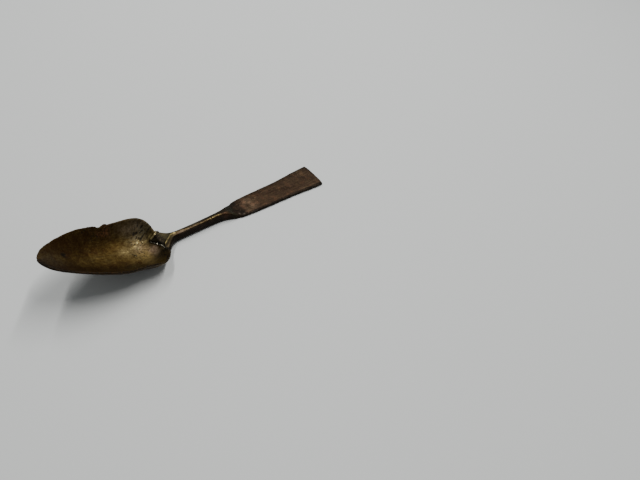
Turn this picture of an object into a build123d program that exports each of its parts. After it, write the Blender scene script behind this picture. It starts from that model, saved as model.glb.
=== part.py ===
"""Hand-made brass spoon: a raised sheet bowl soldered to a forged handle.

+X runs from the bowl's tip to the end of the handle and +Z is up. The origin
is the middle of the bounding box, on the surface that the spoon lies on.
"""

import os
from math import cos, hypot, radians, sin

from build123d import *

os.makedirs("parts", exist_ok=True)

# ---- Overall ------------------------------------------------------------
overall_length = 170.0

# ---- Bowl: one raised sheet, measured in the plane of its rim --------------
bowl_length = 63.2
bowl_width = 33.6  # a little more at the raised shoulders
bowl_depth = 9.8  # outside, from the plane of the rim
sheet = 1.0
rim_pitch = 20.6  # degrees that the rim climbs towards the tip
widest_at = 16.5  # distance of the widest place from the heel
heel_squareness = 3.3  # 2 is a plain ellipse, more is squarer
tip_squareness = 2.0
heel_steepness = 4.6  # 2 is a plain dish, more is a steeper wall
tip_steepness = 1.7
shoulder_rise = 1.8  # the rim stands higher on both sides of the handle
shoulder_at = 6.5
shoulder_fade = 30.0  # distance from the heel where the rise has gone

# ---- Handle: one forging -----------------------------------------------
stem_width = 4.0
stem_height = 4.2
stem_edge_radius = 0.8
neck_clearance = 1.0  # underside of the neck above the table
foot_width = 15.0  # the fan that lies across the heel of the bowl
foot_length = 9.0
foot_thickness = 1.9
foot_proud = 0.9  # top of the foot above the rim that it crosses
foot_flare = 1.0  # slope of its sides where they reach the heel
tongue_drop = 3.7  # how far the tongue runs down inside the heel
tongue_thickness = 1.2
tongue_point_side = 3.8  # its lowest corner stands this far off the middle
terminal_length = 62.0
terminal_thickness = 1.8
terminal_swell = 7.0  # length over which the stem is beaten flat
terminal_start_width = 12.4
terminal_middle_width = 14.2
terminal_end_width = 17.6
terminal_flare = 0.15  # slope of its sides at both ends

# ---- Solder -------------------------------------------------------------
solder_gap = 0.35  # between the tongue and the bowl
solder_margin = 1.2  # solder showing around the tongue
solder_fillet = 0.5  # its height over the underside of the tongue
bead_radius = 1.1  # bead in the corner under the foot, outside the heel
bead_bite = 0.4  # how deep its circle reaches into bowl and foot
bead_length = 9.6
splash_radius = 0.8
splash_places = [(8.3, -7.3), (5.4, -6.2), (9.5, -3.4), (13.2, 0.6)]  # u, v

# ---- The bowl's surface ----------------------------------------------------
slope = radians(rim_pitch)
half_width = bowl_width / 2
tip_reach = bowl_length - widest_at


def ring(u, v):
    """1 on the outline of the rim and 0 at its middle; u from the heel, v across."""
    across = abs(v) / half_width
    if u < widest_at:
        along = (widest_at - u) / widest_at
        power = heel_squareness
    else:
        along = (u - widest_at) / tip_reach
        power = tip_squareness
    return (along**power + across**power) ** (1 / power)


def outside(u, v):
    """Height of the bowl's outer face over the plane of the rim."""
    share = min(max(u / bowl_length, 0.0), 1.0)
    steepness = heel_steepness + share * (tip_steepness - heel_steepness)
    r = ring(u, v)
    climb = r**steepness if r < 1 else 1 + steepness * (r - 1)
    return bowl_depth * (climb - 1)


def layer(u, v, lift):
    """Point at a distance inside the outer face, square to it, as (u, v, height)."""
    step = 0.01
    rise_u = (outside(u + step, v) - outside(u - step, v)) / (2 * step)
    rise_v = (outside(u, v + step) - outside(u, v - step)) / (2 * step)
    size = hypot(rise_u, rise_v, 1)
    return (u - lift * rise_u / size, v - lift * rise_v / size, outside(u, v) + lift / size)


stations = 400
keel = [bowl_length * i / stations for i in range(stations + 1)]
lowest = min(u * sin(slope) + outside(u, 0) * cos(slope) for u in keel)
tip_x = -overall_length / 2
handle_end_x = overall_length / 2
heel_x = tip_x + bowl_length * cos(slope)
heel_z = -lowest  # so the bowl's underside touches the table

rim_plane = Plane(
    origin=(heel_x, 0, heel_z),
    x_dir=(-cos(slope), 0, sin(slope)),
    z_dir=(sin(slope), 0, cos(slope)),
)
side_plane = Plane(  # u from the heel, and height over the rim
    origin=(heel_x, 0, heel_z),
    x_dir=(-cos(slope), 0, sin(slope)),
    z_dir=(0, 1, 0),
)


def sheet_face(lift):
    """The bowl's surface at a distance inside the outer face, run past the rim."""
    overrun = 2.5
    columns = 48
    rows = 32
    grid = []
    for i in range(columns + 1):
        u = -overrun + (bowl_length + 2 * overrun) * i / columns
        line = []
        for j in range(rows + 1):
            v = (half_width + overrun) * (2 * j / rows - 1)
            line.append(rim_plane.from_local_coords(Vector(*layer(u, v, lift))))
        grid.append(line)
    return Face.make_surface_from_array_of_points(grid)


# ---- Space under the rim, as seen from the side -------------------------------
reach = 2 * bowl_width  # more than anything that it cuts
with BuildPart() as under_rim:
    with BuildSketch(side_plane) as rim_profile:
        with BuildLine():
            behind_heel = Line((-reach, 0), (0, 0))
            Spline(
                (0, 0),
                (shoulder_at, shoulder_rise),
                (shoulder_fade, 0),
                tangents=[(shoulder_at, 2 * shoulder_rise), (1, 0)],
            )
            past_tip = Line((shoulder_fade, 0), (bowl_length + reach, 0))
            Polyline(
                past_tip @ 1,
                (bowl_length + reach, -reach),
                (-reach, -reach),
                behind_heel @ 0,
            )
        make_face()
    extrude(amount=reach, both=True)

# ---- Handle ---------------------------------------------------------------
stem_top = neck_clearance + stem_height
half_stem = stem_width / 2
half_foot = foot_width / 2
foot_out_x = heel_x + foot_length
foot_corner_x = heel_x - sheet / 2
foot_top = heel_z + foot_proud
foot_under = foot_top - foot_thickness
terminal_x = handle_end_x - terminal_length
terminal_middle_x = (handle_end_x + terminal_x) / 2
swell_x = terminal_x - terminal_swell


def wall_line(lift, top, bottom):
    """Side view of the heel's wall at a distance inside its outer face, as (x, z)."""
    points = []
    count = 4
    u = 0.0
    for i in range(count):
        height = top + (bottom - top) * i / (count - 1)
        while layer(u, 0, lift)[2] > height:
            u += 0.01
        place = rim_plane.from_local_coords(Vector(*layer(u, 0, lift)))
        points.append((place.X, place.Z))
    return points


under_tongue = wall_line(sheet + solder_gap, foot_proud - foot_thickness, -tongue_drop)
over_tongue = wall_line(sheet + solder_gap + tongue_thickness, -foot_proud, -tongue_drop)
tongue_point_x = over_tongue[-1][0]
tongue_heading = (over_tongue[-1][0] - over_tongue[-2][0], over_tongue[-1][1] - over_tongue[-2][1])

with BuildPart() as handle:
    with BuildSketch(Plane.XZ) as side_view:
        with BuildLine():
            Line((swell_x, stem_top), (foot_out_x, stem_top))
            Spline(
                (foot_out_x, stem_top),
                (heel_x, foot_top),
                *over_tongue,
                tangents=[(-1, 0), tongue_heading],
            )
            Line(over_tongue[-1], under_tongue[-1])
            Spline(*reversed(under_tongue))
            Polyline(
                under_tongue[0],
                (heel_x + sheet, foot_under),
                (foot_out_x, neck_clearance),
                (swell_x, 0),
                (handle_end_x, 0),
                (handle_end_x, terminal_thickness),
                (terminal_x, terminal_thickness),
            )
            Spline(
                (terminal_x, terminal_thickness),
                (swell_x, stem_top),
                tangents=[(-1, 0), (-1, 0)],
            )
        make_face()
    extrude(amount=reach, both=True)

    with BuildSketch(Plane.XY) as plan_view:
        with BuildLine():
            for side in (1, -1):
                Spline(
                    (handle_end_x, side * terminal_end_width / 2),
                    (terminal_middle_x, side * terminal_middle_width / 2),
                    (terminal_x, side * terminal_start_width / 2),
                    tangents=[(-1, -side * terminal_flare), (-1, -side * terminal_flare)],
                )
                Spline(
                    (terminal_x, side * terminal_start_width / 2),
                    (swell_x, side * half_stem),
                    tangents=[(-1, -side * terminal_flare), (-1, 0)],
                )
                Line((swell_x, side * half_stem), (foot_out_x, side * half_stem))
                Spline(
                    (foot_out_x, side * half_stem),
                    (foot_corner_x, side * half_foot),
                    tangents=[(-1, 0), (-1, side * foot_flare)],
                )
                Line((foot_corner_x, side * half_foot), (tongue_point_x, tongue_point_side))
            Line(
                (handle_end_x, -terminal_end_width / 2),
                (handle_end_x, terminal_end_width / 2),
            )
        make_face()
    extrude(amount=reach, both=True, mode=Mode.INTERSECT)

    top_edges = (
        handle.edges()
        .filter_by(lambda edge: foot_out_x < edge.center().X < swell_x)
        .filter_by(lambda edge: edge.length > (swell_x - foot_out_x) / 2)
        .sort_by(Axis.Z)[-2:]
    )
    fillet(top_edges, radius=stem_edge_radius)
handle.part.label = "handle"
export_step(handle.part, "parts/handle.step")

# ---- Bowl, notched where the foot crosses its heel -----------------------------
outer_face = sheet_face(0)
with BuildPart() as bowl:
    thicken(outer_face.intersect(under_rim.part), amount=sheet, normal_override=(0, 0, 1))
    add(handle.part, mode=Mode.SUBTRACT)
bowl.part.label = "bowl"
export_step(bowl.part, "parts/bowl.step")

# ---- Solder under and around the tongue -----------------------------------------
bite = sheet / 3  # it starts inside the sheet and is cut back to the sheet's face
bed_face = sheet_face(sheet - bite)
with BuildPart() as solder_seam:
    with BuildSketch(Plane.XY) as tongue_plan:
        with BuildLine():
            Polyline(
                (foot_corner_x, half_foot),
                (tongue_point_x, tongue_point_side),
                (foot_corner_x, -half_foot),
                close=True,
            )
        make_face()
        offset(amount=solder_margin, kind=Kind.ARC)
    extrude(amount=heel_z)
    thicken(
        bed_face,
        amount=bite + solder_gap + solder_fillet,
        normal_override=(0, 0, 1),
        mode=Mode.INTERSECT,
    )
    add(handle.part, mode=Mode.SUBTRACT)
    add(bowl.part, mode=Mode.SUBTRACT)
solder_seam.part.label = "solder_seam"
export_step(solder_seam.part, "parts/solder_seam.step")

# ---- Bead of solder in the corner under the foot, outside the heel ----------------
bead_offset = bead_radius - bead_bite
foot_edge_x = heel_x + sheet
under_rise = (under_tongue[0][1] - foot_under) / (foot_edge_x - under_tongue[0][0])
bead_u = 0.0
bead_x = foot_edge_x
bead_z = foot_under
wall_z = heel_z
while wall_z > bead_z:
    bead_u += 0.01
    wall = rim_plane.from_local_coords(Vector(bead_u, 0, outside(bead_u, 0)))
    wall_z = wall.Z
    bead_x = wall.X + bead_offset
    bead_z = foot_under + (foot_edge_x - bead_x) * under_rise - bead_offset
with BuildPart() as heel_bead:
    with BuildSketch(Plane.XZ) as bead_profile:
        with Locations((bead_x, bead_z)):
            Circle(bead_radius)
    extrude(amount=bead_length / 2, both=True)
    add(handle.part, mode=Mode.SUBTRACT)
    add(bowl.part, mode=Mode.SUBTRACT)
heel_bead.part.label = "heel_bead"
export_step(heel_bead.part, "parts/heel_bead.step")

# ---- Splashes of solder that fell in the bowl ------------------------------------
splash_lift = sheet + splash_radius / 4  # of their middles over the outer face
with BuildPart() as solder_splashes:
    for u, v in splash_places:
        centre = rim_plane.from_local_coords(Vector(*layer(u, v, splash_lift)))
        with Locations(centre):
            Sphere(splash_radius)
    add(bowl.part, mode=Mode.SUBTRACT)
solder_splashes.part.label = "solder_splashes"
export_step(solder_splashes.part, "parts/solder_splashes.step")
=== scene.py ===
import math

import bmesh
import bpy
from mathutils import Matrix, Vector, noise
from mathutils.bvhtree import BVHTree


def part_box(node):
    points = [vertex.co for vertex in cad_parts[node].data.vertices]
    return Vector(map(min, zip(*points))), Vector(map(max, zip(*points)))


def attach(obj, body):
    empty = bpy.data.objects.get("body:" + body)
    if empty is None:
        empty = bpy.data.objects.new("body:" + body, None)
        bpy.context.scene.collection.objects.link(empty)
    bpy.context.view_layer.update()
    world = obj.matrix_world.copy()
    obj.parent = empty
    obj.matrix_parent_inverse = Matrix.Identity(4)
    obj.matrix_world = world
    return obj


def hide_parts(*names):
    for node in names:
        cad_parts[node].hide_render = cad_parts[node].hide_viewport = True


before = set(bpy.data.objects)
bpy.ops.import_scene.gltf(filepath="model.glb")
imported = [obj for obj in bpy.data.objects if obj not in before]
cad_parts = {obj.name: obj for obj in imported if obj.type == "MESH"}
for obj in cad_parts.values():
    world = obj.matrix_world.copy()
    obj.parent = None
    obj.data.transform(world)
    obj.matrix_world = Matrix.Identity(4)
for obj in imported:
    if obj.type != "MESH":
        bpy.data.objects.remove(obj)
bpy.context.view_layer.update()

# ---- Bowl -------------------------------------------------------------------
# A boat-shaped bowl raised by hand from 1 mm brass sheet, with a steep, nearly square
# heel, a shallow point for a tip and a ragged far rim. Old brown patina covers it,
# scoured to brass by the heel. In millimetres, u runs from heel to tip and v across.
mm = 0.001
bowl_length = 63.2
half_width = 16.8
bowl_depth = 9.8
sheet = 1.0
widest_at = 16.5
heel_power, tip_power = 3.3, 2.0  # 2 is an ellipse, and more is squarer
rim_slope = math.radians(20.6)
heel = Vector((-25.841, 0, 5.847))  # where the plane of the rim meets the heel
foot_notch, far_notch = 7.4, 5.2  # the foot crosses the heel between these sides


def ease(low, high, value):
    """0 below low, 1 above high, and a smooth step between."""
    share = min(max((value - low) / (high - low), 0), 1)
    return share * share * (3 - 2 * share)


def patch(u, v, at_u, at_v, long, wide):
    """1 at the middle of a worn or stained patch, fading to 0 round it."""
    return math.exp(-(((u - at_u) / long) ** 2) - ((v - at_v) / wide) ** 2)


def grain(u, v, size, seed):
    """Smooth random height, about -1 to 1, with bumps of that size."""
    return noise.noise(Vector((u / size, v / size, seed)))


def read_sizes(table, spot):
    """Smooth reading of a table whose rows are a place and the sizes there."""
    last = len(table) - 1
    i = 0
    while i < last - 1 and spot > table[i + 1][0]:
        i += 1
    before, here, there, after = (table[min(max(i + k, 0), last)] for k in (-1, 0, 1, 2))
    span = there[0] - here[0]
    h = min(max((spot - here[0]) / span, 0), 1)
    sizes = []
    for k in range(1, len(here)):
        slope_a = (there[k] - before[k]) / (there[0] - before[0]) * span
        slope_b = (after[k] - here[k]) / (after[0] - here[0]) * span
        change = there[k] - here[k]
        curve = h * h * (3 - 2 * h) * change
        sizes.append(here[k] + curve + h * (1 - h) * ((1 - h) * slope_a - h * slope_b))
    return sizes


def outside(u, v):
    """Height of the bowl's outer face over the plane of its rim."""
    across = abs(v) / half_width
    if u < widest_at:
        along, power = (widest_at - u) / widest_at, heel_power
    else:
        along, power = (u - widest_at) / (bowl_length - widest_at), tip_power
    ring = (along**power + across**power) ** (1 / power)
    # The floor is flat and the wall steep at the heel, and both ease out to the tip.
    steepness = 4.6 - 2.9 * min(max(u / bowl_length, 0), 1)
    climb = ring**steepness if ring < 1 else 1 + steepness * (ring - 1)
    return bowl_depth * (climb - 1)


def on_sheet(u, v, lift):
    """Place at a distance inside the outer face, square to it."""
    rise_u = (outside(u + 0.01, v) - outside(u - 0.01, v)) / 0.02
    rise_v = (outside(u, v + 0.01) - outside(u, v - 0.01)) / 0.02
    size = math.hypot(rise_u, rise_v, 1)
    height = outside(u, v) + lift / size
    u, v = u - lift * rise_u / size, v - lift * rise_v / size
    return Vector(
        (
            heel.x - u * math.cos(rim_slope) + height * math.sin(rim_slope),
            -v,
            heel.z + u * math.sin(rim_slope) + height * math.cos(rim_slope),
        )
    )


def spread(share, turn):
    """u and v at a share of the way from the bowl's middle to its outline."""
    c, s = math.cos(turn), math.sin(turn)
    power, reach = (heel_power, widest_at) if c < 0 else (tip_power, bowl_length - widest_at)
    share /= (abs(c) ** power + abs(s) ** power) ** (1 / power)
    return widest_at + share * c * reach, share * s * half_width


far_rim = [  # u, height of the rim's edge over its plane
    (-1, 0.0), (0.2, 0.1), (0.7, 0.6), (2.5, 1.3), (5, 1.55), (8, 1.6), (12, 1.2), (16, 0.6),
    (20, 0.1), (27, 0.0), (33, 0.3), (40, 0.62), (46, 0.45), (52, 0.1), (60, -0.1), (64, 0.0),
]
near_rim = [  # u, height of the edge, and how far the wall leans inwards
    (-1, 0.2, -0.5), (0.6, 0.8, -0.8), (1.6, 1.1, -0.4), (3, 1.2, -0.3), (5, 1.25, -0.4),
    (8, 1.35, -0.5), (12, 1.35, -0.1), (16, 1.1, 0.1), (20, 0.6, -0.2), (26, 0.1, -0.8),
    (33, 0.0, -0.5), (40, 0.0, -0.2), (48, 0.0, 0.05), (54, 0.0, 0.1), (64, 0.0, -0.1),
]


def rim_rise(u, v):
    """Height of the rim's edge over its plane: shoulders, foot notch, wear and chips."""
    rise = read_sizes(near_rim if v > 0 else far_rim, u)[0]
    side = foot_notch if v > 0 else far_notch
    notch = (1 - ease(side - 0.8, side + 0.6, abs(v))) * (1 - ease(4, 7, u))
    worn = ease(20, 24, u) * (1 - ease(34, 40, u)) * (v < 0)
    rise += 0.10 * grain(u, v, 4.0, 2.0) + (0.04 + 0.2 * worn) * grain(u, v, 0.9, 7.0)
    rise -= worn * 0.3 * ease(-0.1, 0.5, grain(u, v, 2.4, 4.0))
    # A burr stands up beside a chip in the far edge.
    rise += 0.45 * patch(u, 0, 25.4, 0, 0.7, 1) * (v < 0)
    rise -= 0.5 * patch(u, 0, 28.6, 0, 2.2, 1) * (v < 0)
    return rise * (1 - notch) - 0.9 * notch


def rim_share(turn):
    """How far out the sheet runs at that turn before it meets the rim's edge."""
    low, high = 0.7, 1.4
    for _ in range(24):
        middle = (low + high) / 2
        u, v = spread(middle, turn)
        if outside(u, v) < rim_rise(u, v):
            low = middle
        else:
            high = middle
    return low


def wrapped_grid(name, columns, rows, layers, place):
    """A closed skin: a grid whose points are put in place, then its seam and ends merged."""
    bm = bmesh.new()
    stains = [bm.verts.layers.float.new(layer) for layer in layers]
    bmesh.ops.create_grid(bm, x_segments=columns, y_segments=rows, size=1)
    for vert in bm.verts:
        column = round((vert.co.x + 1) / 2 * columns) % columns
        row = round((vert.co.y + 1) / 2 * rows)
        spot, amounts = place(column, row)
        vert.co = spot * mm
        for stain, amount in zip(stains, amounts):
            vert[stain] = amount
    bmesh.ops.remove_doubles(bm, verts=bm.verts, dist=0.002 * mm)
    bmesh.ops.dissolve_degenerate(bm, edges=bm.edges, dist=0.0001 * mm)
    bmesh.ops.recalc_face_normals(bm, faces=bm.faces)
    for face in bm.faces:
        face.smooth = True
    mesh = bpy.data.meshes.new(name)
    bm.to_mesh(mesh)
    bm.free()
    piece = bpy.data.objects.new(name, mesh)
    bpy.context.scene.collection.objects.link(piece)
    return piece


stain_names = ["warm", "gold", "copper", "ash", "scoured_and_glints", "soot_and_shade", "green"]
bowl_patches = {  # rows: how strong, the middle u and v, and the reach along and across
    "warm": [(0.12, 30, -3, 12, 5), (-0.22, 40, -9, 16, 7), (0.25, 6, 0, 8, 6)],
    "gold": [
        (0.42, 17.5, -2.8, 2.6, 2.0), (0.14, 11, -2, 6, 5), (1.2, 8.3, -7.3, 0.9, 0.7),
        (1.0, 4.5, -5.4, 1.2, 0.5), (0.5, 10.5, -5.6, 1.6, 0.5), (0.9, 1.6, -6.3, 0.6, 0.6),
        (0.8, 6.6, -8.6, 1.8, 0.35), (0.7, 12.5, -4.4, 1.4, 0.3),
    ],
    "copper": [
        (0.45, 2.8, 2.2, 2.2, 2.2), (0.2, 8, -2, 5, 3.4), (0.9, 24.7, -14.6, 1.8, 1.6),
        (0.5, 27.5, -13.8, 2.2, 0.9),
    ],
    "scoured_and_glints": [
        (1.0, 2.2, 2.2, 2.2, 3.0), (0.20, 9, -3.2, 4.0, 3.0), (0.12, 17.5, -2.8, 3.2, 2.4),
        (0.34, 10, -15.0, 9, 2.2),
    ],
    "shoulder_ash": [(1.2, 5.5, -12.0, 6.5, 5.0)],
    "ash": [(0.35, 57, 0, 6, 5), (0.35, 9, -4, 7, 5)],
    "pits": [(2.5, 49.8, -4.1, 1.1, 0.8), (1.1, 14.2, -0.4, 0.6, 0.5)],
    "crust_and_shade": [(0.5, 4, 9, 5, 4.5), (0.9, 0.8, 8.5, 2.4, 3.2)],
    "high_streaks": [(2.0, 5.5, -11.5, 5.0, 4.0)],
    "low_streaks": [(1.2, 7, -7.0, 4.5, 2.2)],
    "specks": [(0.6, 9, 0, 8, 7)],
    "drawn_lines": [(0.3, 36, -2, 22, 14)],
    "green": [(0.8, 0.3, 7.9, 1.6, 1.6), (0.3, 17, 9, 6, 3)],
}


def bowl_stains(u, v, lift):
    """How much of each colour of patina or wear the sheet shows there."""
    at = {
        stain: sum(strong * patch(u, v, *where) for strong, *where in rows)
        for stain, rows in bowl_patches.items()
    }
    inner = ease(0.5, 0.9, lift)
    edge = patch(lift, 0, 0.5, 0, 0.3, 1)
    brink = ease(-1.5, -0.1, outside(u, v)) * inner
    rag, fine = grain(u, v, 2.2, 11.0), grain(u, v, 0.8, 5.0)
    worn_rim = ease(18, 23, u) * (1 - ease(36, 42, u)) * ease(9, 14, -v)
    # A copper line along the near lip between u 6 and 18 is a painted highlight.
    near_lip_glint = edge * ease(6, 10, u) * (1 - ease(14, 18, u)) * (v > 0)

    # The heel end and the middle are lightest, and the near wall and the tip darkest.
    warm = 0.34 + 0.34 * ease(-9, 5, v) + 0.25 * (1 - ease(8, 30, u)) - 0.24 * ease(34, 52, u)
    warm += at["warm"] + 0.26 * rag - 0.55 * ease(-3, 7, v) * ease(6, 14, u)
    gold = at["gold"] * inner * (1 + 0.9 * rag + 0.9 * fine)
    scoured_and_glints = at["scoured_and_glints"] * inner * (0.9 + 0.7 * rag + 0.8 * fine)
    copper = at["copper"] * inner * (1 + 0.7 * rag) + 0.3 * worn_rim * inner * ease(0, 0.5, rag)
    copper += 0.6 * near_lip_glint * ease(-0.2, 0.4, rag)
    ash = at["shoulder_ash"] * (1 + 0.6 * rag) + at["ash"]
    green = at["green"] + 0.25 * (1 - inner) * ease(0.1, 0.5, rag)

    # Soot lies in pits, on the edge and the outside, along the near wall, and in streaks
    # over the far shoulder. The near heel corner is crust with painted shade under the foot.
    streak = grain(u * 0.30 + v * 0.5, 0.8 * v - 0.5 * u, 1.1, 9.0) + 0.4 * fine
    soot_and_shade = at["pits"] + at["crust_and_shade"] * inner + worn_rim * ease(0.0, 0.5, fine + 0.3 * rag)
    soot_and_shade += at["high_streaks"] * ease(0.0, 0.3, streak)
    soot_and_shade += at["low_streaks"] * ease(0.15, 0.4, streak)
    soot_and_shade += at["specks"] * inner * ease(-0.1, 0.5, grain(u, v, 0.9, 15.0))
    soot_and_shade += at["drawn_lines"] * inner * ease(-0.2, 0.6, grain(u / 4, v, 1.1, 14.0))
    soot_and_shade += 0.45 * (1 - inner) + 1.3 * edge + 0.20 * ease(14, 17, -v) * inner * (u > 16)
    soot_and_shade += 0.30 * ease(3, 12, v) * ease(4, 12, u) * inner + 0.9 * brink * (v > 0)
    stains = (warm, gold, copper, ash, scoured_and_glints, soot_and_shade, green)
    return [min(max(amount, 0), 1) for amount in stains]


bowl_columns = 420
bowl_rim = [rim_share(2 * math.pi * i / bowl_columns) for i in range(bowl_columns)]
side_rows, lip_rows, lip_back = 62, 7, 0.36
bowl_rows = [(math.sin(math.pi / 2 * i / side_rows), lip_back, 0.0) for i in range(side_rows + 1)]
for i in range(1, lip_rows):
    half_turn = math.pi * i / lip_rows
    bowl_rows.append((1.0, lip_back * (1 - math.sin(half_turn)), 0.5 - 0.5 * math.cos(half_turn)))
bowl_rows += [(share, back, 1.0) for share, back, _ in reversed(bowl_rows[: side_rows + 1])]


def bowl_place(column, row):
    """Place and stains of one point of the bowl's skin, outer face to inner."""
    share, back, lift = bowl_rows[row]
    turn = 2 * math.pi * column / bowl_columns
    u, v = spread(bowl_rim[column], turn)
    reach = math.hypot(u - widest_at, v)
    u, v = spread(bowl_rim[column] * share * (1 - back / reach), turn)
    dent = 0.16 * grain(u, v, 7.0, 1.0) + 0.05 * grain(u, v, 2.6, 3.0)
    dent *= ease(0, 0.25, share)
    if v > 0:  # the near wall leans in or out
        dent += read_sizes(near_rim, u)[1] * ease(0.62, 1.0, share) * ease(5, 11, v)
    if lift == 1.0:  # a rough far shoulder, and one deep pit towards the tip
        dent += 0.05 * grain(u, v, 1.1, 6.0) * patch(u, v, 5, -9, 9, 8)
        dent -= 0.5 * patch(u, v, 49.8, -4.1, 0.8, 0.6)
    if lift == 0.0 and outside(u, v) < -7:  # nothing bulges where the bowl rests on the table
        dent = max(dent, -0.02)
    return on_sheet(u, v, lift * sheet + dent), bowl_stains(u, v, lift)


bowl = wrapped_grid("bowl_sheet", bowl_columns, len(bowl_rows) - 1, stain_names, bowl_place)


def add_node(finish, kind, values, **settings):
    """One node of a finish, with its settings, its values and its links put in."""
    made = finish.node_tree.nodes.new(kind)
    for name, value in settings.items():
        setattr(made, name, value)
    for socket, value in values.items():
        if isinstance(value, bpy.types.NodeSocket):
            finish.node_tree.links.new(value, made.inputs[socket])
        else:
            made.inputs[socket].default_value = value
    return made


def blend_colour(finish, amount, below, above):
    """Lays one colour over another by that amount."""
    # Sockets 6 and 7 and output 2 are the ones that hold colours.
    mix = add_node(finish, "ShaderNodeMix", {0: amount, 6: below, 7: above}, data_type="RGBA")
    return mix.outputs[2]


def reckon(finish, how, first, second=0.0, third=0.0, clamp=False):
    """A sum on one or more amounts."""
    values = {0: first, 1: second, 2: third}
    made = add_node(finish, "ShaderNodeMath", values, operation=how, use_clamp=clamp)
    return made.outputs[0]


def mottle(finish, where, scale, detail, rough):
    """Cloudy pattern, 0 to 1, of that many clouds a metre."""
    values = {"Vector": where, "Scale": scale, "Detail": detail, "Roughness": rough}
    return add_node(finish, "ShaderNodeTexNoise", values).outputs["Fac"]


def sharpen(finish, amount, low, high):
    """Stretches an amount so that low becomes 0 and high becomes 1."""
    values = {"Value": amount, "From Min": low, "From Max": high}
    return add_node(finish, "ShaderNodeMapRange", values, clamp=True).outputs["Result"]


def old_brass(name, deep, mid, light, tilt):
    """Brown brass patina with wear, stains, painted highlights and shade, drawn scratches and a
    beaten surface.
    """
    finish = bpy.data.materials.new(name)
    finish.use_nodes = True
    shader = finish.node_tree.nodes["Principled BSDF"]
    where = add_node(finish, "ShaderNodeTexCoord", {}).outputs["Object"]
    along = add_node(
        finish,
        "ShaderNodeMapping",
        {"Vector": where, "Rotation": (0, tilt, 0), "Scale": (0.07, 1, 1)},
    ).outputs["Vector"]
    stain = {
        s: add_node(finish, "ShaderNodeAttribute", {}, attribute_name=s).outputs["Fac"]
        for s in stain_names
    }
    # Clouds and freckles lie anywhere, and streaks and scratches run lengthwise.
    clouds = sharpen(finish, mottle(finish, where, 260, 5, 0.62), 0.3, 0.7)
    freckles = sharpen(finish, mottle(finish, where, 1400, 3, 0.6), 0.3, 0.7)
    streaks = sharpen(finish, mottle(finish, along, 1300, 4, 0.7), 0.32, 0.68)
    scratches = sharpen(finish, mottle(finish, along, 3400, 2, 0.5), 0.62, 0.74)

    # The patina's own brown, from deep through mid to light.
    warmth = reckon(finish, "ADD", stain["warm"], -0.69)
    warmth = reckon(finish, "MULTIPLY_ADD", clouds, 0.44, warmth)
    warmth = reckon(finish, "MULTIPLY_ADD", streaks, 0.62, warmth)
    warmth = reckon(finish, "MULTIPLY_ADD", freckles, 0.40, warmth)
    colour = blend_colour(finish, sharpen(finish, warmth, 0.0, 0.55), deep, mid)
    colour = blend_colour(finish, sharpen(finish, warmth, 0.45, 1.05), colour, light)

    # Each stain, worn place, painted highlight and painted shade is laid over it, broken up by a
    # pattern.
    ash = reckon(finish, "MULTIPLY", stain["ash"], sharpen(finish, streaks, 0.1, 0.8))
    colour = blend_colour(finish, ash, colour, (0.115, 0.098, 0.060, 1))
    scoured_and_glints = reckon(finish, "MULTIPLY", stain["scoured_and_glints"], sharpen(finish, freckles, -0.4, 0.7))
    colour = blend_colour(finish, scoured_and_glints, colour, (0.36, 0.265, 0.175, 1))
    copper = reckon(finish, "MULTIPLY", stain["copper"], sharpen(finish, freckles, 0.1, 0.8))
    colour = blend_colour(finish, copper, colour, (0.19, 0.075, 0.035, 1))
    gold = reckon(finish, "MULTIPLY", stain["gold"], sharpen(finish, freckles, 0.15, 0.75))
    gold = reckon(finish, "MULTIPLY_ADD", scratches, 0.10, gold, clamp=True)
    colour = blend_colour(finish, gold, colour, (0.52, 0.40, 0.15, 1))
    green = reckon(finish, "MULTIPLY", stain["green"], sharpen(finish, freckles, 0.1, 0.8))
    colour = blend_colour(finish, green, colour, (0.032, 0.044, 0.018, 1))
    mask = reckon(finish, "MULTIPLY", freckles, 0.7)
    mask = sharpen(finish, reckon(finish, "MULTIPLY_ADD", clouds, 0.5, mask), 0.05, 0.7)
    soot_and_shade = reckon(finish, "MULTIPLY", stain["soot_and_shade"], mask, clamp=True)
    colour = blend_colour(finish, soot_and_shade, colour, (0.009, 0.0055, 0.0025, 1))
    finish.node_tree.links.new(colour, shader.inputs["Base Color"])

    metal = reckon(finish, "MULTIPLY_ADD", soot_and_shade, -0.10, 0.92)
    metal = reckon(finish, "MULTIPLY_ADD", scoured_and_glints, -0.45, metal, clamp=True)
    finish.node_tree.links.new(metal, shader.inputs["Metallic"])
    rough = reckon(finish, "MULTIPLY_ADD", clouds, 0.16, 0.36)
    rough = reckon(finish, "MULTIPLY_ADD", freckles, 0.12, rough)
    rough = reckon(finish, "MULTIPLY_ADD", gold, -0.12, rough)
    rough = reckon(finish, "MULTIPLY_ADD", soot_and_shade, 0.2, rough, clamp=True)
    finish.node_tree.links.new(rough, shader.inputs["Roughness"])

    relief = reckon(finish, "MULTIPLY_ADD", freckles, 0.4, clouds)
    relief = reckon(finish, "MULTIPLY_ADD", streaks, 0.3, relief)
    relief = reckon(finish, "MULTIPLY_ADD", scratches, -0.25, relief)
    values = {"Height": relief, "Strength": 0.5, "Distance": 0.16 * mm}
    bump = add_node(finish, "ShaderNodeBump", values)
    finish.node_tree.links.new(bump.outputs["Normal"], shader.inputs["Normal"])
    return finish


bowl.data.materials.append(
    old_brass(
        "bowl_patina",
        deep=(0.034, 0.014, 0.002, 1),
        mid=(0.062, 0.036, 0.006, 1),
        light=(0.115, 0.078, 0.022, 1),
        tilt=rim_slope,
    )
)
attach(bowl, "root")
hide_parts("bowl")

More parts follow.
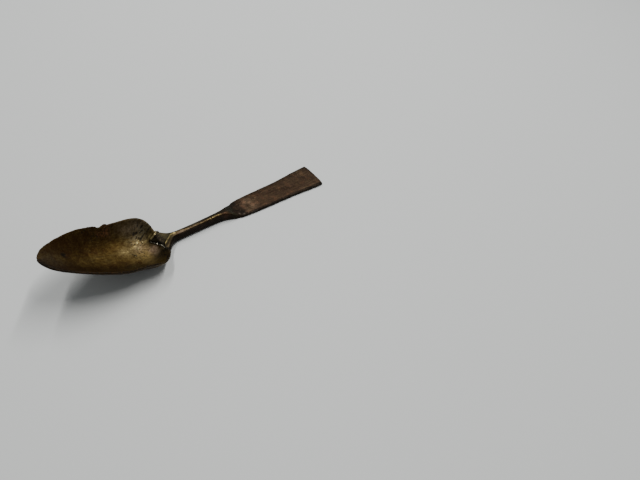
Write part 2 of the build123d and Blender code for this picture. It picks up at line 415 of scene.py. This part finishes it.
# ---- Handle -----------------------------------------------------------------
# One forging: a slim square stem, its far end beaten out into a flat plate with
# wavy edges, its near end spread into a creased foot that crosses the heel and
# ends as a pointed tongue inside the bowl.
handle_end = 86.1
handle_around = 96
handle_width = [  # x, near side at the bottom, far side, how far the near side leans in
    (-31.2, 3.6, 3.9, 0.0), (-30.2, 1.9, 4.0, 0.0), (-28.4, -1.4, 4.1, 0.0),
    (-27.0, -4.8, 4.5, 0.2), (-26.2, -8.6, 6.0, 0.8), (-25.4, -9.5, 6.0, 1.5),
    (-24.4, -8.8, 5.0, 1.7), (-22.5, -6.3, 3.6, 1.7), (-20.5, -4.7, 2.6, 1.7),
    (-18.0, -3.2, 1.9, 1.8), (-16.0, -2.7, 1.7, 1.4), (-10.0, -2.5, 1.6, 1.0),
    (0.0, -2.5, 1.6, 0.9), (8.0, -2.5, 1.8, 0.9), (12.0, -2.7, 2.0, 0.8),
    (15.0, -3.1, 2.4, 0.7), (18.0, -4.1, 3.4, 0.7), (20.5, -5.0, 4.5, 0.7),
    (22.8, -5.5, 5.4, 0.6), (24.6, -6.0, 6.3, 0.4), (30.0, -6.5, 7.0, 0.3),
    (38.0, -6.9, 7.3, 0.2), (50.0, -7.2, 7.4, 0.1), (62.0, -7.6, 7.8, 0.1),
    (74.0, -8.4, 8.8, 0.1), (80.0, -8.7, 9.1, 0.1), (86.1, -8.9, 9.4, 0.1),
]
handle_height = [  # x, underside, top
    (-31.2, 0.0, 3.0), (-26.4, 4.85, 6.1), (-25.0, 4.6, 6.2), (-23.0, 3.8, 5.9),
    (-20.0, 2.3, 5.4), (-16.8, 1.0, 5.2), (0.0, 0.5, 5.2), (12.0, 0.1, 5.2),
    (16.0, 0.0, 5.0), (18.0, 0.0, 4.3), (20.0, 0.0, 3.2), (22.0, 0.0, 2.25),
    (24.0, 0.0, 1.8), (30.0, 0.0, 1.75), (85.0, 0.0, 1.75),
]
crease = [  # x, side on which the foot's crease runs, and its height over the foot
    (-26.6, -5.4, 0.2), (-25.6, -4.6, 0.7), (-22.5, -2.1, 0.6), (-19.2, 0.4, 0.35),
    (-16.0, 0.2, 0.15), (-8.0, -0.6, 0.2), (14.0, -0.8, 0.2), (20.0, -0.8, 0.0),
]


def bar_section(share, half_across, half_up, corner):
    """Point of a bar's round-cornered section, share from 0 to 1 round it."""
    # The top comes first, then the far side, the underside and the near side.
    starts = (0.0, 0.40, 0.50, 0.90, 1.0)
    face = next(i for i in range(4) if share < starts[i + 1] or i == 3)
    part = (share - starts[face]) / (starts[face + 1] - starts[face])
    half = (half_across, half_up)[face % 2]
    out = (half_up, half_across)[face % 2]
    ends = 0.12 if face % 2 == 0 else 0.3  # share of the face that each half corner takes
    flat = half - corner
    if part < ends:
        turn = (part / ends - 1) * math.pi / 4
        side, up = -flat + corner * math.sin(turn), corner * math.cos(turn)
    elif part > 1 - ends:
        turn = ((part - 1) / ends + 1) * math.pi / 4
        side, up = flat + corner * math.sin(turn), corner * math.cos(turn)
    else:
        side, up = flat * ((part - ends) / (1 - 2 * ends) * 2 - 1), corner
    up += out - corner
    turns = ((side, up), (up, -side), (-side, -up), (-up, side))
    return turns[face]


bowl_skin = bmesh.new()
bowl_skin.from_mesh(bowl.data)
bowl_tree = BVHTree.FromBMesh(bowl_skin)
bowl_skin.free()


def sheet_top(x, y):
    """Height of the bowl's inner face under a place, or None outside the bowl."""
    hit = bowl_tree.ray_cast(Vector((x, y, 60)) * mm, Vector((0, 0, -1)))[0]
    return hit.z / mm if hit else None


tongue_start, tongue_end, tongue_steps, tongue_step = -25.6, -31.2, 40, 0.16
stem_start = tongue_end + (tongue_steps - 1) * tongue_step
stem_steps, end_steps, end_round = 370, 6, 0.4
stem_step = (handle_end - end_round - stem_start) / stem_steps
handle_steps = [tongue_end + tongue_step * i for i in range(tongue_steps)]
handle_steps += [stem_start + stem_step * i for i in range(1, stem_steps + 1)]
handle_steps += [
    handle_end - end_round + end_round * math.sin(math.pi / 2 * i / end_steps)
    for i in range(1, end_steps + 1)
]


def handle_stains(x, y, far, crest, across, up):
    """How much of each colour of patina or wear the handle shows there."""
    rag, fine = grain(x, y, 3.0, 41.0), grain(x, y, 0.9, 42.0)
    plate = ease(18, 24, x)
    stem = (1 - plate) * ease(-19, -15, x)
    foot = 1 - ease(-19, -15, x)
    tongue = 1 - ease(-26.6, -25.0, x)
    outer = ease(0.88, 0.99, abs(across)) * (1 - plate) + ease(0.88, 0.97, abs(across)) * plate
    side = max(outer, ease(84.9, 85.8, x))
    lit = ease(0.5, 0.95, up)
    on_crest = patch(y, 0, crest, 0, 0.55, 1) * lit
    brim = tongue * ease(0.0, 0.6, up) * ease(-1.3, -0.9, y - far) * ease(-31, -30, x)

    # The tops of the stem and foot are painted lighter than their sides: painted light.
    warm = 0.35 * stem * lit + 0.12 * plate * ease(50, 84, x)
    warm += 0.20 * plate + (0.2 - 0.10 * plate) * rag + 0.9 * foot * lit
    # Brass on the crest of the stem and foot and on the tongue's far edge: wear and a painted
    # highlight.
    gold = stem * on_crest * (0.42 + 1.1 * fine) * (0.3 + 0.7 * ease(0, 8, x))
    gold *= 1 - ease(10.5, 13.5, x)
    gold += foot * (1 - tongue) * on_crest * (0.9 + 0.6 * fine) * ease(-7.5, -5, y)
    gold += brim * (1.3 + 1.2 * fine)
    scoured_and_glints = 0.20 * stem * lit * (1 - ease(-6, 2, x)) * ease(-0.4, 0.5, rag)
    scoured_and_glints += 0.05 * plate * lit * patch(x, y, 33, 1, 4.5, 6) * (1 + 1.2 * rag) + 0.5 * brim
    # Two pale spots where the plate begins and a thin pale line by its near edge: painted
    # highlights.
    scoured_and_glints += patch(x, y, 23.7, -3.4, 0.55, 0.5) + patch(x, y, 26.1, -4.8, 0.7, 0.5)
    scoured_and_glints += plate * patch(y, 0, -6.3, 0, 0.3, 1) * ease(30, 32, x) * (1 - ease(34, 36, x))
    copper = 0.12 * plate * lit * patch(x, y, 33, 2, 9, 6) * (1 + 2 * rag)
    copper += 0.35 * patch(x, y, 20.4, -3.0, 1.6, 2.2) + 0.12 * plate * lit * ease(0, 0.5, rag)
    copper += 0.5 * patch(x, 0, 14.5, 0, 2.6, 1) * ease(0, 2, crest - y) * (1 - lit * 0.3)
    copper += plate * side * 0.25 * ease(0.1, 0.5, rag) * (x < 60)
    ash = 0.18 * plate * lit * patch(x, y, 33, 1, 5, 6) * (1 + 1.5 * rag) + 0.05 * plate * lit
    # Darker underneath and on the lower sides: painted shade. The edges are soot, with painted
    # shade on the near edge. Soot covers the tongue, the foot and where the plate begins.
    soot_and_shade = 0.85 * (1 - ease(-0.9, 0.7, up)) + 0.75 * side * (1 - on_crest) * (1 - brim)
    soot_and_shade += 0.8 * stem * lit * ease(0.3, 1.3, y - crest) * ease(-8, 2, x)
    soot_and_shade += 0.95 * patch(x, 0, 25.0, 0, 3.6, 1) * ease(-0.4, 0.3, grain(x * 0.3, y, 1.1, 44.0))
    soot_and_shade += tongue * lit * (1 - brim) * (0.5 + ease(-0.5, 0.2, rag))
    soot_and_shade += 0.9 * foot * lit * patch(x, y, -25.2, -0.6, 1.5, 2.6)
    soot_and_shade += 0.5 * foot * lit * ease(0, 0.5, rag)
    # The foot's near slope, beyond its crease, is darkened: soot with painted shade.
    soot_and_shade += 1.1 * foot * (1 - tongue) * ease(1.2, 2.4, crest - y) * ease(-22.5, -20.5, x)
    soot_and_shade += 1.1 * foot * (1 - tongue) * ease(2.2, 3.4, crest - y)
    soot_and_shade += 0.9 * plate * lit * patch(x, 0, 23.5, 0, 3.0, 1) * ease(-0.3, 0.2, fine)
    # The last term, a black band along the plate's near edge and near side, is painted contact
    # shadow.
    soot_and_shade += 0.35 * plate * lit * (1 - ease(24, 30, x)) + 1.3 * plate * ease(0.80, 0.88, -across)
    green = 0.9 * patch(x, 0, 20.0, 0, 2.4, 1) * (0.8 + rag) + 0.5 * plate * side * (y > 0)
    green += 0.5 * stem * lit * ease(0.3, 1.3, y - crest) + 0.5 * foot * lit * (y > crest)
    stains = (warm, gold, copper, ash, scoured_and_glints, soot_and_shade, green)
    return [min(max(amount, 0), 1) for amount in stains]


def handle_place(column, row):
    """Place and stains of one point of the handle's skin."""
    x = handle_steps[row]
    near, far, lean = read_sizes(handle_width, x)
    under, top = read_sizes(handle_height, x)
    crest, crest_height = read_sizes(crease, x)
    plate = ease(18, 24, x)
    far += plate * (0.22 * grain(x, 0, 5.0, 25.0) + 0.09 * grain(x, 0, 1.6, 26.0))
    near += plate * (0.22 * grain(x, 0, 6.0, 21.0) + 0.08 * grain(x, 0, 1.6, 22.0))
    middle, half, thick = (near + far) / 2, (far - near) / 2, (top - under) / 2
    end = max(0.0, (x - handle_end + end_round) / end_round)
    rounding = math.sqrt(max(0.0, 1 - end * end))
    half -= 0.25 * (1 - rounding)
    corner = min(0.85 - 0.35 * plate, half * 0.9, thick * 0.9)
    y, z = bar_section(column / handle_around, half, thick, corner)
    across, up = y / max(half, 1e-6), z / max(thick, 1e-6)
    y += middle + lean * (up + 1) / 2 * ease(0.2, 1.0, -across)
    z = z * rounding + (top + under) / 2
    upper = ease(0.1, 0.8, up)

    fall = abs(y - crest)
    z += upper * crest_height * (1.5 * math.exp(-((fall / 0.8) ** 2)) - 0.5 * ease(0, 3, fall))
    # Inside the bowl the tongue leaves its own height and follows the sheet.
    if x < tongue_start:
        bed = sheet_top(x, y)
        if bed is not None:
            sunk = 1 - ease(tongue_start - 1.3, tongue_start, x)
            lift = 0.2 + upper * 1.3 * min(half, 1) * (1 - 0.3 * max(-across, 0) ** 3)
            lift += 0.3 * upper * patch(y, 0, 4.0, 0, 0.7, 1) * min(half, 1)
            z += (bed + lift - z) * sunk
            z = min(z, 6.9)
    beat = 0.12 * plate * grain(x, y, 6.0, 31.0) + 0.05 * grain(x, y, 1.8, 33.0)
    z += beat * upper * ease(-27, -24, x)
    z -= plate * 0.22 * ease(0.6, 1.0, abs(across)) * upper
    x += 0.06 * y * ease(76, 85, x) - 0.5 * ease(84, 86, x) * abs(across) ** 4
    return Vector((x, y, max(z, 0.0))), handle_stains(x, y, far, crest, across, up)


handle = wrapped_grid(
    "handle_forging", handle_around, len(handle_steps) - 1, stain_names, handle_place
)
handle.data.materials.append(
    old_brass(
        "handle_patina",
        deep=(0.020, 0.010, 0.005, 1),
        mid=(0.033, 0.018, 0.009, 1),
        light=(0.066, 0.048, 0.023, 1),
        tilt=0.0,
    )
)
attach(handle, "root")
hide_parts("handle")

# ---- Solder round the tongue --------------------------------------------------
# Soft solder run in by hand along the tongue's near edge. It lies in lumps, mostly
# blackened, with two clean bright spots that are painted highlights, and in a burnt crust on
# both sides of the foot.
def melted_lumps(name, lumps, grey):
    """Lumps run together into one skin. Each is a place, a size and how far it is darkened."""
    drops = bmesh.new()
    for x, y, z, size, _ in lumps:
        made = bmesh.ops.create_icosphere(drops, subdivisions=3, radius=size * mm)
        for vert in made["verts"]:
            out = vert.co.normalized()
            vert.co *= 1 + 0.22 * noise.noise(out * 1.7 + Vector((x, y, z)) * 1.3)
        bmesh.ops.scale(drops, vec=(1.15, 1.15, 0.8), verts=made["verts"])
        bmesh.ops.translate(drops, vec=Vector((x, y, z)) * mm, verts=made["verts"])
    mesh = bpy.data.meshes.new(name)
    drops.to_mesh(mesh)
    drops.free()
    piece = bpy.data.objects.new(name, mesh)
    bpy.context.scene.collection.objects.link(piece)
    melt = piece.modifiers.new("run_together", "REMESH")
    melt.mode, melt.voxel_size = "VOXEL", 0.11 * mm
    soft = piece.modifiers.new("melted", "SMOOTH")
    soft.factor, soft.iterations = 0.5, 3
    graph = bpy.context.evaluated_depsgraph_get()
    piece.data = bpy.data.meshes.new_from_object(piece.evaluated_get(graph))
    piece.modifiers.clear()
    piece.data.name = name
    skin = bmesh.new()
    skin.from_mesh(piece.data)
    soot_and_shade = skin.verts.layers.float.new("soot_and_shade")
    for vert in skin.verts:
        spot = vert.co / mm
        nearest = min(lumps, key=lambda lump: (Vector(lump[:3]) - spot).length - lump[3])
        vert[soot_and_shade] = min(max(nearest[4] + 0.5 * noise.noise(spot * 2.1), 0), 1)
        vert.co += vert.normal * 0.04 * mm * noise.noise(spot * 3.5)
    for face in skin.faces:
        face.smooth = True
    skin.to_mesh(piece.data)
    skin.free()
    piece.data.materials.append(grey)
    return piece


def old_solder(name, bright, dull):
    """Tin solder, bright where it is clean and grey-brown in its hollows, darkened by soot and
    painted shade.
    """
    finish = bpy.data.materials.new(name)
    finish.use_nodes = True
    shader = finish.node_tree.nodes["Principled BSDF"]
    where = add_node(finish, "ShaderNodeTexCoord", {}).outputs["Object"]
    soot_and_shade = add_node(finish, "ShaderNodeAttribute", {}, attribute_name="soot_and_shade").outputs["Fac"]
    clouds = mottle(finish, where, 900, 4, 0.6)
    grains = mottle(finish, where, 4200, 2, 0.5)
    colour = blend_colour(finish, sharpen(finish, clouds, 0.42, 0.62), bright, dull)
    dark = reckon(finish, "SUBTRACT", soot_and_shade, 0.25)
    dark = reckon(finish, "MULTIPLY_ADD", grains, 0.5, dark, clamp=True)
    colour = blend_colour(finish, dark, colour, (0.008, 0.007, 0.004, 1))
    finish.node_tree.links.new(colour, shader.inputs["Base Color"])
    rough = reckon(finish, "MULTIPLY_ADD", clouds, 0.5, 0.05)
    rough = reckon(finish, "MULTIPLY_ADD", dark, 0.35, rough, clamp=True)
    finish.node_tree.links.new(rough, shader.inputs["Roughness"])
    shader.inputs["Metallic"].default_value = 0.9
    relief = reckon(finish, "MULTIPLY_ADD", grains, 0.4, clouds)
    values = {"Height": relief, "Strength": 0.5, "Distance": 0.2 * mm}
    bump = add_node(finish, "ShaderNodeBump", values)
    finish.node_tree.links.new(bump.outputs["Normal"], shader.inputs["Normal"])
    return finish


solder = old_solder("solder", (0.50, 0.46, 0.35, 1), (0.12, 0.095, 0.05, 1))
seam_lumps, seam_steps = [], 18
for i in range(seam_steps + 1):
    share = i / seam_steps
    x = -30.4 + 3.8 * share
    y = 2.9 - 8.6 * share
    size = 0.52 + 0.36 * grain(share, 0, 0.09, 3.0)
    y += 0.5 * grain(share, 0, 0.12, 6.0)
    bed = sheet_top(x, y)
    if bed is not None:
        # Two clean spots on the run are painted highlights.
        painted_glint = max(patch(share, 0, at, 0, 0.045, 1) for at in (0.48, 0.82))
        dark = 0.72 + 0.2 * ease(0.35, 0.5, share) + 0.7 * grain(share, 0, 0.08, 8.0)
        seam_lumps.append((x, y, bed + 0.25, size, dark * (1 - painted_glint)))
seam_lumps += [  # x, y, z, size, how far it is darkened
    (-26.2, 5.4, 5.5, 0.6, 0.9), (-25.7, 6.0, 5.4, 0.55, 0.9), (-25.0, 5.0, 5.9, 0.6, 1.0),
    (-27.6, -5.6, 4.4, 0.7, 1.0), (-28.2, -4.3, 3.9, 0.6, 1.0),
    (-26.6, -5.9, 5.3, 0.75, 0.9), (-26.4, -7.0, 5.6, 0.8, 1.0), (-26.3, -8.2, 5.4, 0.85, 1.0),
    (-26.1, -9.3, 5.2, 0.8, 1.0), (-27.0, -9.0, 4.6, 0.7, 1.0), (-26.0, -9.9, 5.9, 0.6, 0.9),
]
seam = melted_lumps("solder_run", seam_lumps, solder)
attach(seam, "root")
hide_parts("solder_seam")

# ---- Bead of solder under the foot ----------------------------------------------
# A thick bead in the corner between the underside of the foot and the outside of the
# heel. It set as it was pushed along, so it is lumpy and burnt brown.
bead_low, bead_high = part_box("heel_bead")
bead_x = (bead_low.x + bead_high.x) / 2 / mm
bead_z = (bead_low.z + bead_high.z) / 2 / mm
bead_lumps, bead_steps, bead_reach = [], 12, 4.5
for i in range(bead_steps + 1):
    y = -bead_reach + 2 * bead_reach * i / bead_steps
    swell = grain(y, 0, 1.1, 12.0)
    bead_lumps.append((bead_x + 0.15 * swell, y, bead_z + 0.1 * swell, 0.86 + 0.16 * swell, 0.45))
bead = melted_lumps("bead_of_solder", bead_lumps, solder)
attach(bead, "root")
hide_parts("heel_bead")

# ---- Splashes of solder in the bowl -----------------------------------------------
# Four drops that spat off the joint and froze flat on the sheet. They are yellower
# than the run of solder, and darker the further they lie from the heel.
splash_lumps = []
for u, v, dark in ((8.3, -7.3, 0.1), (5.4, -6.2, 0.3), (9.5, -3.4, 0.5), (13.2, 0.6, 0.7)):
    for i in range(5):
        turn = 2.4 * i
        off = 0.0 if i == 0 else 0.42
        spot = on_sheet(u + off * math.cos(turn), v + off * math.sin(turn), sheet)
        splash_lumps.append((*spot, 0.5 - 0.05 * i, dark))
splash_solder = old_solder("splashed_solder", (0.50, 0.40, 0.18, 1), (0.14, 0.10, 0.045, 1))
splashes = melted_lumps("solder_drops", splash_lumps, splash_solder)
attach(splashes, "root")
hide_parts("solder_splashes")

# ---- Table, light and camera --------------------------------------------------
# A plain pale table under two long soft lights and a dim even sky. The camera looks
# down on the spoon from the bowl's side.
table_mesh = bpy.data.meshes.new("table")
table_form = bmesh.new()
bmesh.ops.create_grid(table_form, x_segments=1, y_segments=1, size=3)
table_form.to_mesh(table_mesh)
table_form.free()
table = bpy.data.objects.new("table", table_mesh)
bpy.context.scene.collection.objects.link(table)
paint = bpy.data.materials.new("table_paint")
paint.use_nodes = True
paint_shader = paint.node_tree.nodes["Principled BSDF"]
paint_shader.inputs["Base Color"].default_value = (0.65, 0.66, 0.643, 1)
paint_shader.inputs["Roughness"].default_value = 0.6
table.data.materials.append(paint)

heading = math.radians(54.31)
depth_way = Vector((math.cos(heading), math.sin(heading), 0))
right_way = Vector((math.sin(heading), -math.cos(heading), 0))
strip_wide, strip_long, strip_high, strip_back = 0.07, 1.1, 1.1, 0.5
for side, power in ((-0.29, 7.3), (0.42, 12.0)):
    light = bpy.data.lights.new("strip", "AREA")
    light.shape = "RECTANGLE"
    light.size, light.size_y = strip_wide, strip_long
    light.energy = power
    strip = bpy.data.objects.new("strip", light)
    place = right_way * side + depth_way * strip_back + Vector((-0.05, 0, strip_high))
    back = (right_way * side + Vector((0, 0, strip_high))).normalized()
    turned = Matrix((depth_way.cross(back), depth_way, back)).transposed().to_4x4()
    strip.matrix_world = Matrix.Translation(place) @ turned
    bpy.context.scene.collection.objects.link(strip)

world = bpy.data.worlds.new("studio")
world.use_nodes = True
world.node_tree.nodes["Background"].inputs["Color"].default_value = (0.93, 0.97, 1.0, 1)
world.node_tree.nodes["Background"].inputs["Strength"].default_value = 0.23
bpy.context.scene.world = world

pitch, roll = math.radians(50.65), math.radians(3.92)
forward = depth_way * math.cos(pitch) - Vector((0, 0, math.sin(pitch)))
above = right_way.cross(forward)
camera_x = right_way * math.cos(roll) + above * math.sin(roll)
camera_y = above * math.cos(roll) - right_way * math.sin(roll)
camera_data = bpy.data.cameras.new("camera")
camera_data.lens = 21.572
camera_data.shift_x = 0.19
camera_data.clip_start = 0.01
camera = bpy.data.objects.new("camera", camera_data)
camera.matrix_world = (
    Matrix.Translation((-0.08389, -0.11459, 0.16178))
    @ Matrix((camera_x, camera_y, -forward)).transposed().to_4x4()
)
bpy.context.scene.collection.objects.link(camera)
bpy.context.scene.camera = camera
